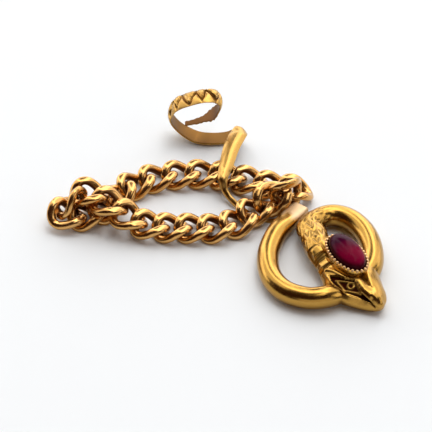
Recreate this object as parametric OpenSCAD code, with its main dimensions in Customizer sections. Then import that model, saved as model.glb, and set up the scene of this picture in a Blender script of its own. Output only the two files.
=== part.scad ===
/* [Chain] */
// Thickness of a link's wire
wire_d = 0.6; // [0.5:0.02:0.62]
// Length of a link, measured along the middle of its wire
link_length = 3.2; // [3.18:0.02:3.24]
// Width of a link, measured the same way
link_width = 2.72; // [2.66:0.02:2.8]
// How far the twisted wire rises and falls from the link's middle plane
link_twist = 0.58; // [0.56:0.01:0.62]
// Height of the flats filed on both sides of the chain, from its middle plane
filed_at = 0.78; // [0.76:0.01:0.86]

/* [Snake] */
// Thickness of the coiled body compared with the measured one
body_scale = 1; // [0.95:0.01:1.02]
// How far the scales on the neck stand out
scale_relief = 0.1; // [0.06:0.02:0.14]
// Depth of the sunk lozenge round the eye
eye_depth = 0.22; // [0.14:0.02:0.3]

/* [Ruby setting] */
// Length of the ruby
ruby_length = 5.3; // [5.2:0.05:5.5]
// Width of the ruby
ruby_width = 2.9; // [2.7:0.05:3]
// Height of the ruby's straight side above the rim
ruby_side = 0.3; // [0.1:0.05:0.4]
// Height of the ruby's dome above its side
ruby_dome = 1.2; // [0.9:0.05:1.3]
// Thickness of the wall round the ruby
wall = 0.26; // [0.22:0.02:0.3]
// Beads round the rim
beads = 30; // [26:1:34]
// Radius of a bead
bead_r = 0.15; // [0.12:0.01:0.17]

/* [Tail band] */
// Thickness of the band compared with the measured one
band_scale = 1; // [0.85:0.05:1.1]

/* [Hidden] */
link_count = 24;

// Puts the origin under the middle of the whole piece.
to_origin = [0.44, -0.24, 0];
// Middle of the ruby and the way the head points; the head's table is measured from here.
head_at = [12.9, -7.84, 0];
head_heading = -62;
stone_at = [-0.05, -0.6];
stone_z = 2.85;
stone_roll = -6;

link_steps = 14;
wire_sides = 6;
body_sides = 14;
body_steps = 3;
band_sides = 8;
band_steps = 2;
oval_sides = 28;

// The coiled body from its cut end round both loops to the neck:
// x, y, height of its middle, half width, half height, squareness
BODY = [
    [8.1, 0.82, 1.0, 0.9, 0.5, 5],
    [7.55, 0.0, 1.0, 0.95, 0.56, 4],
    [6.85, -1.0, 1.02, 1.0, 0.72, 3],
    [5.58, -3.13, 1.08, 1.05, 1.0, 2.2],
    [4.75, -6.19, 1.1, 1.08, 1.08, 2],
    [5.0, -9.2, 1.1, 1.08, 1.08, 2],
    [6.33, -11.32, 1.1, 1.08, 1.08, 2],
    [8.53, -12.3, 1.1, 1.08, 1.08, 2],
    [10.66, -12.02, 1.1, 1.08, 1.08, 2],
    [12.6, -10.9, 0.75, 0.9, 0.6, 2],
    [14.5, -8.7, 1.1, 1.08, 1.08, 2],
    [15.02, -6.25, 1.1, 1.08, 1.08, 2],
    [14.55, -3.4, 1.1, 1.08, 1.08, 2],
    [13.28, -1.28, 1.1, 1.08, 1.08, 2],
    [11.65, -0.4, 1.12, 1.08, 1.08, 2],
    [10.15, -0.8, 1.2, 1.1, 1.08, 2],
    [8.95, -2.4, 1.4, 1.34, 1.1, 2],
    [9.3, -4.0, 1.6, 1.42, 1.1, 2],
    [9.8, -6.33, 1.75, 1.34, 1.1, 2.2],
    [10.65, -8.35, 1.55, 1.2, 0.9, 2.2]
];

// The head's outline at eleven places round it, from the right cheek over the snout, down the left
// cheek and under the jaw. Each row: along the head, then [across, height] at each place.
HEAD = [
    [-2.3, [-0.85, 1.4], [-1.0, 1.8], [-1.4, 2.0], [-1.8, 2.05], [-2.3, 2.0], [-2.7, 1.7], [-2.75, 1.6],
        [-2.8, 1.3], [-2.5, 0.85], [-1.8, 0.8], [-1.1, 0.9]],
    [-1.0, [0.35, 1.3], [0.1, 2.0], [-0.5, 2.35], [-1.2, 2.45], [-2.1, 2.4], [-2.9, 2.05], [-3.1, 1.85],
        [-3.3, 1.25], [-2.7, 0.5], [-1.4, 0.4], [-0.2, 0.55]],
    [0.3, [1.6, 1.3], [1.3, 1.95], [0.4, 2.3], [-0.8, 2.35], [-2.2, 2.4], [-3.1, 2.1], [-3.3, 1.85],
        [-3.55, 1.1], [-2.8, 0.3], [-1.1, 0.25], [0.7, 0.3]],
    [1.4, [1.85, 1.2], [1.5, 1.9], [0.5, 2.35], [-0.6, 2.35], [-2.1, 2.4], [-3.3, 2.12], [-3.45, 2.02],
        [-3.85, 1.1], [-3.1, 0.2], [-0.9, 0.18], [1.0, 0.2]],
    [2.3, [1.65, 1.1], [1.3, 1.9], [0.45, 2.35], [-0.55, 2.25], [-1.75, 2.38], [-3.25, 2.05], [-3.4, 1.97],
        [-3.85, 1.0], [-3.1, 0.15], [-0.85, 0.15], [1.0, 0.15]],
    [3.2, [1.45, 1.0], [1.1, 1.8], [0.3, 2.32], [-0.5, 2.2], [-1.2, 2.33], [-2.9, 1.9], [-3.06, 1.85],
        [-3.5, 0.95], [-2.9, 0.12], [-0.75, 0.12], [0.9, 0.12]],
    [4.1, [1.2, 0.95], [0.9, 1.7], [0.2, 2.2], [-0.4, 2.15], [-1.05, 2.2], [-2.45, 1.7], [-2.6, 1.65],
        [-2.95, 0.85], [-2.3, 0.12], [-0.6, 0.12], [0.7, 0.12]],
    [4.9, [1.0, 0.9], [0.75, 1.5], [0.1, 2.0], [-0.38, 2.05], [-0.85, 2.0], [-1.6, 1.5], [-1.75, 1.45],
        [-2.15, 0.75], [-1.7, 0.15], [-0.5, 0.12], [0.5, 0.15]],
    [5.6, [0.65, 0.9], [0.45, 1.35], [0.0, 1.76], [-0.35, 1.82], [-0.7, 1.78], [-1.04, 1.4], [-1.14, 1.33],
        [-1.45, 0.7], [-1.15, 0.3], [-0.4, 0.25], [0.25, 0.3]],
    [6.05, [0.2, 0.85], [0.1, 1.2], [-0.12, 1.44], [-0.35, 1.5], [-0.55, 1.44], [-0.72, 1.2], [-0.78, 1.13],
        [-0.92, 0.8], [-0.8, 0.5], [-0.35, 0.4], [0.0, 0.5]],
    [6.25, [-0.1, 0.85], [-0.15, 1.0], [-0.25, 1.08], [-0.35, 1.1], [-0.45, 1.08], [-0.53, 1.0], [-0.56, 0.95],
        [-0.6, 0.82], [-0.55, 0.66], [-0.35, 0.6], [-0.15, 0.66]]
];

// The flat band of the tail, from under the body's cut end to its torn tip:
// x, y, z, way its rounded face looks (three numbers), half width, thickness
BAND = [
    [7.7, 0.4, 0.6, 0, 0, 1, 0.6, 0.4],
    [6.9, -0.05, 0.34, 0, 0, 1, 0.5, 0.3],
    [5.6, -0.1, 0.16, 0, 0, 1, 0.35, 0.24],
    [4.4, 0.12, 0.14, 0, 0, 1, 0.26, 0.22],
    [3.4, 0.75, 0.14, 0, 0, 1, 0.28, 0.22],
    [2.5, 1.4, 0.18, 0, 0, 1, 0.3, 0.22],
    [1.9, 1.8, 0.36, -0.4, -0.6, 0.7, 0.33, 0.3],
    [1.3, 2.25, 0.55, -0.6, -0.7, 0.2, 0.37, 0.4],
    [0.85, 2.84, 0.7, -0.8, -0.6, 0.1, 0.37, 0.45],
    [0.4, 3.5, 1.15, -0.7, -0.5, 0.5, 0.42, 0.45],
    [0.3, 4.1, 1.95, -0.2, -0.3, 1, 0.5, 0.42],
    [0.45, 5.0, 2.15, 0, 0, 1, 0.62, 0.4],
    [0.66, 5.88, 2.25, 0, 0, 1, 0.72, 0.4],
    [1.17, 8.38, 2.35, 0, 0, 1, 0.82, 0.4],
    [1.75, 10.3, 2.3, 0, 0, 1, 0.88, 0.4],
    [2.0, 11.0, 2.2, 0, 0, 1, 0.86, 0.4],
    [2.25, 11.85, 1.92, 0.54, 0.45, 0.7, 0.7, 0.4],
    [2.2, 12.42, 1.22, 0.77, 0.64, 0, 0.56, 0.4],
    [1.6, 12.52, 0.52, 0.54, 0.45, -0.7, 0.7, 0.38],
    [0.78, 12.46, 0.22, 0, 0, -1, 0.88, 0.36],
    [-0.97, 12.3, 0.2, 0, 0, -1, 0.9, 0.36],
    [-2.6, 12.6, 0.28, -0.1, 0, -1, 0.92, 0.36],
    [-4.3, 13.1, 1.2, -0.76, 0, -0.65, 0.95, 0.36],
    [-5.1, 13.1, 2.8, -1, 0, 0, 1.0, 0.36],
    [-4.53, 12.9, 4.4, -0.8, 0, 0.6, 1.05, 0.36],
    [-3.0, 12.85, 5.25, -0.25, 0, 0.97, 1.05, 0.36],
    [-1.47, 12.93, 5.6, 0.2, 0, 0.98, 1.0, 0.36],
    [-0.2, 13.1, 5.3, 0.6, 0, 0.8, 0.98, 0.34],
    [0.16, 13.15, 4.3, 0.95, 0, 0.3, 0.95, 0.32],
    [-0.5, 13.02, 3.05, 0.8, 0, -0.6, 0.9, 0.3],
    [-1.9, 12.86, 2.25, 0.4, 0, -0.9, 0.48, 0.28],
    [-3.5, 12.85, 1.75, 0.1, 0, -1, 0.34, 0.26]
];

// Where each link lies: x, y, z, heading, climb towards the heading, roll about its own length
LINKS = [
    [1.9, -1.05, 0.85, 32, 0, 0],
    [-0.25, -1.85, 0.78, 12, 0, 0],
    [-2.5, -1.95, 0.78, 0, 0, 0],
    [-4.7, -1.9, 0.78, -2, 0, 0],
    [-6.9, -1.75, 1.0, -8, -6, 0],
    [-8.95, -1.2, 1.6, -20, -18, 0],
    [-10.95, -0.2, 2.45, -30, -10, 0],
    [-12.95, 1.1, 2.65, -25, 0, 0],
    [-14.9, 0.7, 1.9, 30, 30, -40],
    [-15.2, -0.3, 1.2, 10, -20, 10],
    [-13.2, 0.0, 0.78, 15, 0, 0],
    [-11.4, 1.2, 0.78, 45, 0, 0],
    [-10.2, 3.2, 0.78, 58, 0, 0],
    [-8.4, 4.7, 0.8, 36, 0, 0],
    [-6.23, 5.69, 0.78, 18, 0, 0],
    [-3.85, 6.1, 0.78, 4, 0, 0],
    [-1.5, 6.2, 0.78, 0, 0, 0],
    [0.8, 5.85, 0.78, -14, 0, 0],
    [3.05, 5.1, 0.78, -20, 0, 0],
    [5.3, 4.3, 0.8, -18, 0, 0],
    [7.45, 3.4, 1.0, -35, 0, 0],
    [6.8, 2.2, 1.95, 30, -45, 90],
    [5.25, 1.45, 1.8, 30, 15, 30],
    [3.6, 0.6, 0.9, 30, 0, 0]
];

// Lists hold points and directions as [x, y, z] in millimetres.
function link_name(i) = str("link_", i < 10 ? "0" : "", i);
function unit(v) = v / norm(v);
function square_to(v, axis) = unit(v - axis * (v * axis));
function rounded(v, squareness) = sign(v) * pow(abs(v), 2 / squareness);
function place(row) = [row[0], row[1], row[2]];

// The row between rows t and t + 1 of a table, on a smooth line through all of them.
function between(rows, t) =
    let (
        i = max(0, min(len(rows) - 2, floor(t))),
        u = t - i,
        before = rows[max(0, i - 1)],
        a = rows[i],
        b = rows[i + 1],
        after = rows[min(len(rows) - 1, i + 2)]
    )
    0.5 * (2 * a + (b - before) * u + (2 * before - 5 * a + 4 * b - after) * u * u
        + (3 * a - before - 3 * b + after) * u * u * u);

function direction(rows, t) = unit(
    place(between(rows, min(len(rows) - 1, t + 0.1)))
    - place(between(rows, max(0, t - 0.1)))
);

// A tube's skin: rings of n points one after the other, joined end to end or round in a loop.
function skin(rings, n, looped) = [
    for (i = [0:rings - (looped ? 1 : 2)], j = [0:n - 1], half = [0, 1])
    let (
        a = i * n + j,
        b = i * n + (j + 1) % n,
        c = ((i + 1) % rings) * n + j,
        d = ((i + 1) % rings) * n + (j + 1) % n
    )
    half == 0 ? [a, c, b] : [b, c, d]
];

// Closes both ends of such a tube.
function ends(rings, n) = [
    [for (j = [0:n - 1]) j],
    [for (j = [n - 1:-1:0]) (rings - 1) * n + j]
];

module closed_tube(points, n) {
    rings = len(points) / n;
    polyhedron(points, concat(skin(rings, n, false), ends(rings, n)), convexity = 10);
}

// Frame of the body at t: middle, along, across, up.
function body_frame(t) =
    let (
        along = direction(BODY, t),
        across = unit(cross([0, 0, 1], along))
    )
    [place(between(BODY, t)), along, across, cross(along, across)];

// A point on the body's skin; 90 degrees is its top, 0 its left seen towards the head.
function on_body(t, turn, lift) =
    let (f = body_frame(t), row = between(BODY, t))
    f[0]
    + (row[3] * body_scale * rounded(cos(turn), row[5]) + lift * cos(turn)) * f[2]
    + (row[4] * body_scale * rounded(sin(turn), row[5]) + lift * sin(turn)) * f[3];

module body() {
    last = (len(BODY) - 1) * body_steps;
    closed_tube([
        for (i = [0:last], j = [0:body_sides - 1])
            on_body(i / body_steps, 360 * (j + 0.5) / body_sides, 0)
    ], body_sides);
}

// A smooth closed line through the places of one row, two points to a place.
function head_ring(row) =
    let (marks = [for (k = [-1:12]) row[1 + (k + 11) % 11]])
    [for (k = [0:21]) let (p = between(marks, 1 + k / 2)) [row[0], p.x, p.y]];

module head_frame() {
    translate(head_at)
        rotate([0, 0, head_heading])
        children();
}

module head_block() {
    rings = [for (row = HEAD) head_ring(row)];
    closed_tube([for (i = [0:2 * (len(HEAD) - 1)]) each between(rings, i / 2)], 22);
}

// A flat-topped pad: its outline lies on the skin and its smaller top stands off by the relief.
module pad(outline, relief, shrink) {
    hull() {
        translate([0, 0, -0.15])
            linear_extrude(0.15)
            polygon(outline);
        linear_extrude(relief)
            scale(shrink)
            polygon(outline);
    }
}

module on_skin(t, turn) {
    f = body_frame(t);
    at = on_body(t, turn, 0);
    out = unit(cos(turn) * f[2] + sin(turn) * f[3]);
    side = cross(out, f[1]);
    multmatrix([
        [f[1].x, side.x, out.x, at.x],
        [f[1].y, side.y, out.y, at.y],
        [f[1].z, side.z, out.z, at.z],
        [0, 0, 0, 1]
    ])
        children();
}

leaf = [[-0.62, 0], [-0.1, -0.46], [0.5, -0.24], [0.65, 0], [0.5, 0.24], [-0.1, 0.46]];

// Leaf-shaped scales in staggered rows over the neck.
module neck_scales() {
    for (i = [0:5])
        for (j = [-1:1])
            if (i > 0 || j == 0)
                on_skin(15.5 + i * 0.42, 86 + (j + (i % 2) / 2) * 46)
                    pad(leaf, scale_relief, 0.72);
}

// Square scales that step down the side of the neck to the cheek.
module side_scales() {
    for (i = [0:1])
        on_skin(18.25 + i * 0.6, 118 + i * 6)
            pad([[-0.45, -0.45], [0.45, -0.45], [0.45, 0.45], [-0.45, 0.45]], scale_relief + 0.05, 0.85);
}

module rod(a, b, r1, r2) {
    hull() {
        translate(a) sphere(r1, $fn = 10);
        translate(b) sphere(r2, $fn = 10);
    }
}

// The two ridges over the snout, and the cheek's upper edge.
module head_ridges() {
    rod([2.9, -0.95, 2.12], [5.6, -0.5, 1.56], 0.28, 0.2);
    rod([2.6, 0.1, 2.12], [5.0, -0.3, 1.86], 0.3, 0.24);
    rod([0.2, -3.0, 2.08], [1.3, -2.4, 2.24], 0.2, 0.2);
    rod([1.3, -2.4, 2.24], [2.2, -2.05, 2.2], 0.2, 0.2);
}

// The sunk lozenge on the left cheek, tilted with it.
module eye_frame() {
    translate([3.2, -2.1, 2.12 - eye_depth])
        rotate([15, 10, 0])
        children();
}

module eye_cut() {
    eye_frame()
        linear_extrude(1)
        polygon([
            [-2.1, -1.0], [-1.5, -0.4], [-0.9, 0.1], [-0.3, 0.75], [0.4, 0.95], [1.1, 1.0], [1.7, 1.1],
            [1.7, 0.45], [1.1, -0.2], [0.4, -0.62], [-0.3, -0.92], [-0.9, -1.1], [-1.5, -1.15]
        ]);
}

module eye() {
    eye_frame()
        translate([0, 0.1, -0.1]) {
            difference() {
                cylinder(h = 0.26, r = 0.38, $fn = 14);
                translate([0, 0, 0.1]) cylinder(h = 0.3, r = 0.24, $fn = 14);
            }
        }
}

// The groove from the eye to the nostril.
module nostril_cut() {
    hull() {
        translate([4.5, -1.5, 1.85]) sphere(0.2, $fn = 8);
        translate([5.9, -0.72, 1.42]) sphere(0.12, $fn = 8);
    }
}

module head() {
    head_frame() {
        difference() {
            union() {
                head_block();
                head_ridges();
            }
            eye_cut();
            nostril_cut();
        }
        eye();
    }
}

// An oval ring of points at height z in the stone's own frame.
function oval(a, b, z) = [
    for (j = [0:oval_sides - 1])
    let (turn = 360 * (j + 0.5) / oval_sides)
    [a * cos(turn), b * sin(turn), z]
];

module stone_frame() {
    head_frame()
        translate([stone_at.x, stone_at.y, stone_z])
        rotate([stone_roll, 0, 0])
        children();
}

module setting() {
    a = ruby_length / 2 + 0.06;
    b = ruby_width / 2 + 0.06;
    stone_frame() {
        closed_tube(concat(
            oval(a - 0.1, b - 0.3, -1.3),
            oval(a + wall - 0.05, b + wall - 0.05, -0.6),
            oval(a + wall, b + wall, 0.2),
            oval(a, b, 0.2),
            oval(a, b, -0.46)
        ), oval_sides);
        for (i = [1:beads])
            translate([
                (a + wall / 2) * cos(360 * i / beads),
                (b + wall / 2) * sin(360 * i / beads),
                0.22
            ])
                sphere(bead_r, $fn = 8);
    }
}

module ruby() {
    a = ruby_length / 2;
    b = ruby_width / 2;
    color("crimson")
        translate(to_origin)
        stone_frame()
        closed_tube(concat(
            oval(a - 0.12, b - 0.12, -0.38),
            oval(a, b, -0.1),
            [
                for (i = [0:4])
                let (rise = i * 17)
                each oval(a * cos(rise), b * cos(rise), ruby_side + ruby_dome * sin(rise))
            ],
            oval(a * 0.16, b * 0.16, ruby_side + ruby_dome)
        ), oval_sides);
}

// Outline of the band's section: flat inside, rounded outside.
BAND_EDGE = [
    [-1, -0.5], [0, -0.5], [1, -0.5], [1, 0.05],
    [0.68, 0.4], [0, 0.5], [-0.68, 0.4], [-1, 0.05]
];

function band_frame(t) =
    let (
        row = between(BAND, t),
        along = direction(BAND, t),
        out = square_to([row[3], row[4], row[5]], along)
    )
    [place(row), along, cross(out, along), out];

module band() {
    last = (len(BAND) - 1) * band_steps;
    closed_tube([
        for (i = [0:last], p = BAND_EDGE)
        let (t = i / band_steps, row = between(BAND, t), f = band_frame(t))
        f[0] + p.x * row[6] * f[2] + p.y * row[7] * band_scale * f[3]
    ], band_sides);
}

// Raised three-cornered scales over the curl's top, pointing in and out by turns.
module band_scales() {
    for (i = [0:9]) {
        t = 23.3 + i * 0.42;
        f = band_frame(t);
        s = i % 2 == 0 ? 1 : -1;
        at = f[0] + 0.15 * f[3];
        multmatrix([
            [f[1].x, f[2].x, f[3].x, at.x],
            [f[1].y, f[2].y, f[3].y, at.y],
            [f[1].z, f[2].z, f[3].z, at.z],
            [0, 0, 0, 1]
        ])
            pad([[-0.5, -0.75 * s], [0.5, -0.75 * s], [0, 0.6 * s]], 0.12, 0.75);
    }
}

// The ruby's seat, kept free of the neck and its scales.
module seat() {
    a = ruby_length / 2 + 0.06;
    b = ruby_width / 2 + 0.06;
    stone_frame()
        closed_tube(concat(oval(a, b, -0.46), oval(a, b, 2)), oval_sides);
}

module snake() {
    color("goldenrod")
        translate(to_origin)
        difference() {
            union() {
                body();
                neck_scales();
                side_scales();
                head();
                setting();
                band();
                band_scales();
            }
            seat();
        }
}

function wire_at(a) = [
    link_length / 2 * cos(a),
    link_width / 2 * sin(a),
    -link_twist * sin(2 * a)
];

module curb_link() {
    points = [
        for (i = [0:link_steps - 1])
        let (
            a = 360 * (i + 0.5) / link_steps,
            centre = wire_at(a),
            along = unit(wire_at(a + 1) - wire_at(a - 1)),
            out = square_to([centre.x, centre.y, 0], along),
            up = cross(along, out)
        )
        for (j = [0:wire_sides - 1])
        let (
            turn = 360 * (j + 0.5) / wire_sides,
            p = centre + wire_d / 2 * (cos(turn) * out + sin(turn) * up)
        )
        [p.x, p.y, max(-filed_at, min(filed_at, p.z))]
    ];
    polyhedron(points, skin(link_steps, wire_sides, true), convexity = 6);
}

module link(i) {
    row = LINKS[i - 1];
    color("goldenrod")
        translate(to_origin)
        translate(place(row))
        rotate([0, 0, row[3]])
        rotate([0, -row[4], 0])
        rotate([row[5], 0, 0])
        curb_link();
}

snake();
ruby();
for (i = [1:link_count])
    link(i);
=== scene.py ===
import math

import bpy
import numpy as np
from mathutils import Matrix, Vector


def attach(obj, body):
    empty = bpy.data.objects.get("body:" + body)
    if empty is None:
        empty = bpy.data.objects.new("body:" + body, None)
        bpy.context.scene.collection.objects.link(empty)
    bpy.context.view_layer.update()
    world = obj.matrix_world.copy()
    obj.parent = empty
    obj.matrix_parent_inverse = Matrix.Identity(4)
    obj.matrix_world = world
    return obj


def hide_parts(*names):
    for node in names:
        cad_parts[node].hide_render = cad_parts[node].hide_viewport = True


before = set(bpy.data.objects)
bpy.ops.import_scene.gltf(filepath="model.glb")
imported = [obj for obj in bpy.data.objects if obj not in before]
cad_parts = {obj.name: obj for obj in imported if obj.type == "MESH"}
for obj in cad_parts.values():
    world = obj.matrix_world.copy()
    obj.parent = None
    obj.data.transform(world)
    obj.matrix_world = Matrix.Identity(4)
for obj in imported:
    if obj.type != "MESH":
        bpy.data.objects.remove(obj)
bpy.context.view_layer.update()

print("frame loaded")

# All tables below are in millimetres, in the same places as the part's own tables.
mm = 0.001
toOrigin = np.array([0.44, -0.24, 0.0])  # from the tables' places to the bottom centre of the whole ring


def linearColour(hexCode):  # an sRGB hex value as linear red, green and blue, with a full alpha
    values = [int(hexCode[i:i + 2], 16) / 255 for i in (0, 2, 4)]
    return [v / 12.92 if v < 0.04045 else ((v + 0.055) / 1.055) ** 2.4 for v in values] + [1.0]


def addNode(tree, kind, settings=None, links=None):
    node = tree.nodes.new(kind)
    for key, value in (settings or {}).items():
        if isinstance(key, int) or key in node.inputs:
            node.inputs[key].default_value = value
        else:
            setattr(node, key, value)
    for socket, source in (links or {}).items():
        tree.links.new(source, node.inputs[socket])
    return node


def smoothStep(low, high, x):  # rises from 0 to 1 between low and high, or falls where low is the larger
    u = np.clip((x - low) / (high - low), 0, 1)
    return u * u * (3 - 2 * u)


def smoothRow(rows, t):  # a row between two rows of a table, on a smooth line through all of them
    rows = np.asarray(rows, float)
    i = int(max(0, min(len(rows) - 2, math.floor(t))))
    u = t - i
    a, b, c, d = rows[max(0, i - 1)], rows[i], rows[i + 1], rows[min(len(rows) - 1, i + 2)]
    square, cube = 2 * a - 5 * b + 4 * c - d, 3 * b - a - 3 * c + d
    return 0.5 * (2 * b + (c - a) * u + square * u ** 2 + cube * u ** 3)


def ridge(away, width):  # a soft ridge, 1 high where away is 0
    return np.exp(-(away / width) ** 2)


def wholeTurn(count):  # evenly spaced angles, once round
    return np.linspace(0, 2 * math.pi, count, endpoint=False)


def unit(v):
    return v / (np.linalg.norm(v, axis=-1, keepdims=True) + 1e-12)


def rounded(v, squareness):  # turns a circle's sine or cosine into that of a squarer one
    return np.sign(v) * np.abs(v) ** (2 / squareness)


def gridNormals(grid):  # grid[ring, point] of a closed tube, rings counter-clockwise about the way it runs
    along = np.gradient(grid, axis=0)
    around = np.roll(grid, -1, axis=1) - np.roll(grid, 1, axis=1)
    return unit(np.cross(around, along))


def distanceToLine(points, line):  # from each flat point to a line of short straight stretches
    nearest = np.full(points.shape[:-1], np.inf)
    for start, end in zip(line, line[1:]):
        p, q = np.array(start, float), np.array(end, float)
        u = np.clip(((points - p) @ (q - p)) / ((q - p) @ (q - p)), 0, 1)
        nearest = np.minimum(nearest, np.linalg.norm(points - (p + u[..., None] * (q - p)), axis=-1))
    return nearest


def tubePiece(name, grid, material, dirtAndShade=None, sharpAngle=180, solder=None):
    # a closed skin over a grid's rings; the middle point of each end cap comes after the rings' points
    rings, n = grid.shape[:2]
    points = np.concatenate([grid.reshape(-1, 3), grid[:1].mean(axis=1), grid[-1:].mean(axis=1)])
    points = (points + toOrigin) * mm
    faces = []
    for i in range(rings - 1):
        for j in range(n):
            k = (j + 1) % n
            faces.append((i * n + j, i * n + k, (i + 1) * n + k, (i + 1) * n + j))
    first, last = rings * n, rings * n + 1
    for j in range(n):
        k = (j + 1) % n
        faces.append((first, k, j))
        faces.append((last, (rings - 1) * n + j, (rings - 1) * n + k))
    mesh = bpy.data.meshes.new(name)
    mesh.from_pydata(points.tolist(), [], faces)
    mesh.polygons.foreach_set("use_smooth", [True] * len(mesh.polygons))
    mesh.materials.append(material)
    for key, amount, capMiddles in (("dirtAndShade", dirtAndShade, [0.0, 0.0]), ("solder", solder, [1.0, 0.0])):
        if amount is not None:
            layer = mesh.attributes.new(key, "FLOAT", "POINT")
            layer.data.foreach_set("value", np.concatenate([np.clip(amount, 0, 1).ravel(), capMiddles]))
    if sharpAngle < 180:
        mesh.set_sharp_from_angle(angle=math.radians(sharpAngle))
    mesh.update()
    piece = bpy.data.objects.new(name, mesh)
    bpy.context.collection.objects.link(piece)
    return piece


# The four gold finishes

def newMaterial(name):
    material = bpy.data.materials.new(name)
    material.use_nodes = True
    tree = material.node_tree
    tree.nodes.clear()
    output = addNode(tree, "ShaderNodeOutputMaterial")
    shader = addNode(tree, "ShaderNodeBsdfPrincipled")
    tree.links.new(shader.outputs[0], output.inputs[0])
    return material, tree, shader


def goldFinish(name, look):
    # 18 carat gold: a warm mirror with fine wear, and a dark brown in the hollows that is dirt and painted
    #                shade
    material, tree, shader = newMaterial(name)
    place = addNode(tree, "ShaderNodeTexCoord").outputs["Object"]
    tint, wear, wave = [
        addNode(tree, "ShaderNodeTexNoise", {"Scale": 1 / (look[size] * mm), "Detail": detail},
                {"Vector": place})
        for size, detail in (("patchSize", 3), ("wearSize", 4), ("waveSize", 1))
    ]
    dirtAndShadeMask = addNode(tree, "ShaderNodeAttribute", {"attribute_name": "dirtAndShade"})
    solder = addNode(tree, "ShaderNodeAttribute", {"attribute_name": "solder"})
    clean = addNode(tree, "ShaderNodeMix",
                    {"data_type": "RGBA", 6: linearColour(look["gold"]), 7: linearColour(look["paleGold"])},
                    {0: tint.outputs["Fac"]})
    # painted shade and dirt: the mask darkens the gold towards the hollow colour
    dirtAndShadeMix = addNode(tree, "ShaderNodeMix", {"data_type": "RGBA", 7: linearColour(look["hollowDirtAndShade"])},
                   {0: dirtAndShadeMask.outputs["Fac"], 6: clean.outputs[2]})
    joined = addNode(tree, "ShaderNodeMix", {"data_type": "RGBA", 7: linearColour(look["solder"])},
                     {0: solder.outputs["Fac"], 6: dirtAndShadeMix.outputs[2]})
    rough = addNode(tree, "ShaderNodeMapRange", {"To Min": look["rough"][0], "To Max": look["rough"][1]},
                    {"Value": wear.outputs["Fac"]})
    matt = addNode(tree, "ShaderNodeMath", {"operation": "MULTIPLY_ADD", 1: look["roughInHollow"]},
                   {0: dirtAndShadeMask.outputs["Fac"], 2: rough.outputs[0]})
    dull = addNode(tree, "ShaderNodeMath", {"operation": "MULTIPLY_ADD", 1: look["roughOnSolder"]},
                   {0: solder.outputs["Fac"], 2: matt.outputs[0]})
    bump = addNode(tree, "ShaderNodeBump", {"Strength": look["bump"], "Distance": look["wearDepth"] * mm},
                   {"Height": wear.outputs["Fac"]})
    waves = addNode(tree, "ShaderNodeBump", {"Strength": look["waves"], "Distance": look["waveDepth"] * mm},
                    {"Height": wave.outputs["Fac"], "Normal": bump.outputs[0]})
    tree.links.new(joined.outputs[2], shader.inputs["Base Color"])
    tree.links.new(dull.outputs[0], shader.inputs["Roughness"])
    tree.links.new(waves.outputs[0], shader.inputs["Normal"])
    shader.inputs["Metallic"].default_value = 1.0
    return material


# Cast and polished by hand: deep yellow, with low waves that bend the reflections
castGoldLook = {
    "gold": "B0843A",
    "paleGold": "C0964C",
    "hollowDirtAndShade": "260702",  # dirt and painted shade in the hollows
    "solder": "D8BC98",
    "patchSize": 3.0,  # mm between lighter and redder patches
    "wearSize": 0.5,  # real scratches are finer, and wouldn't show
    "wearDepth": 0.04,  # mm, as both depths
    "waveSize": 1.6,  # mm between the low waves that hand polishing leaves
    "waveDepth": 0.1,
    "waves": 0.2,
    "rough": (0.17, 0.3),
    "roughInHollow": 0.25,  # the roughness that dirt adds, where the mask of dirt and painted shade lies
    "roughOnSolder": 0.3,
    "bump": 0.12,
}
# Drawn wire, filed flat: paler and redder, without waves
curbGoldLook = dict(castGoldLook, gold="CC9852", paleGold="D8AA6B", hollowDirtAndShade="4C180A", rough=(0.16, 0.28),
                    bump=0.03, waves=0.0)
# A rolled strip, duller where it was bent and never polished again
bandGoldLook = dict(castGoldLook, gold="B48840", paleGold="C29A56", hollowDirtAndShade="5A300A", rough=(0.22, 0.36),
                    bump=0.1)
# Beads that were pressed with a wheel, made paler than the cast gold as a painted glint, so that each one is
# a pale dot
beadPaintedGlintLook = dict(castGoldLook, gold="E0B078", paleGold="E8C090", rough=(0.25, 0.35), bump=0.0)

castGold = goldFinish("castGoldHandPolished", castGoldLook)
curbGold = goldFinish("curbLinkGoldFiled", curbGoldLook)
bandGold = goldFinish("rolledGoldBand", bandGoldLook)
beadPaintedGlintGold = goldFinish("beadGoldPaintedGlints", beadPaintedGlintLook)
print("gold finishes made")


# The coiled body, its neck and the head, in one skin

# x, y, height of the middle, half width, half height, squareness
bodyRows = [
    [8.1, 0.82, 1.0, 0.9, 0.5, 5],
    [7.55, 0.0, 1.0, 0.95, 0.56, 4],
    [6.85, -1.0, 1.02, 1.0, 0.72, 3],
    [5.58, -3.13, 1.08, 1.05, 1.0, 2.2],
    [4.75, -6.19, 1.1, 1.08, 1.08, 2],
    [5.0, -9.2, 1.1, 1.08, 1.08, 2],
    [6.33, -11.32, 1.1, 1.08, 1.08, 2],
    [8.53, -12.3, 1.1, 1.08, 1.08, 2],
    [10.66, -12.02, 1.1, 1.08, 1.08, 2],
    [12.6, -10.9, 0.75, 0.9, 0.6, 2],
    [14.5, -8.7, 1.1, 1.08, 1.08, 2],
    [15.02, -6.25, 1.1, 1.08, 1.08, 2],
    [14.55, -3.4, 1.1, 1.08, 1.08, 2],
    [13.28, -1.28, 1.1, 1.08, 1.08, 2],
    [11.65, -0.4, 1.12, 1.08, 1.08, 2],
    [10.15, -0.8, 1.2, 1.1, 1.08, 2],
    [8.95, -2.4, 1.4, 1.34, 1.1, 2],
    [9.3, -4.0, 1.6, 1.42, 1.1, 2],
    [9.8, -6.33, 1.75, 1.34, 1.1, 2.2],
    [10.65, -8.35, 1.55, 1.2, 0.9, 2.2],
]
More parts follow.
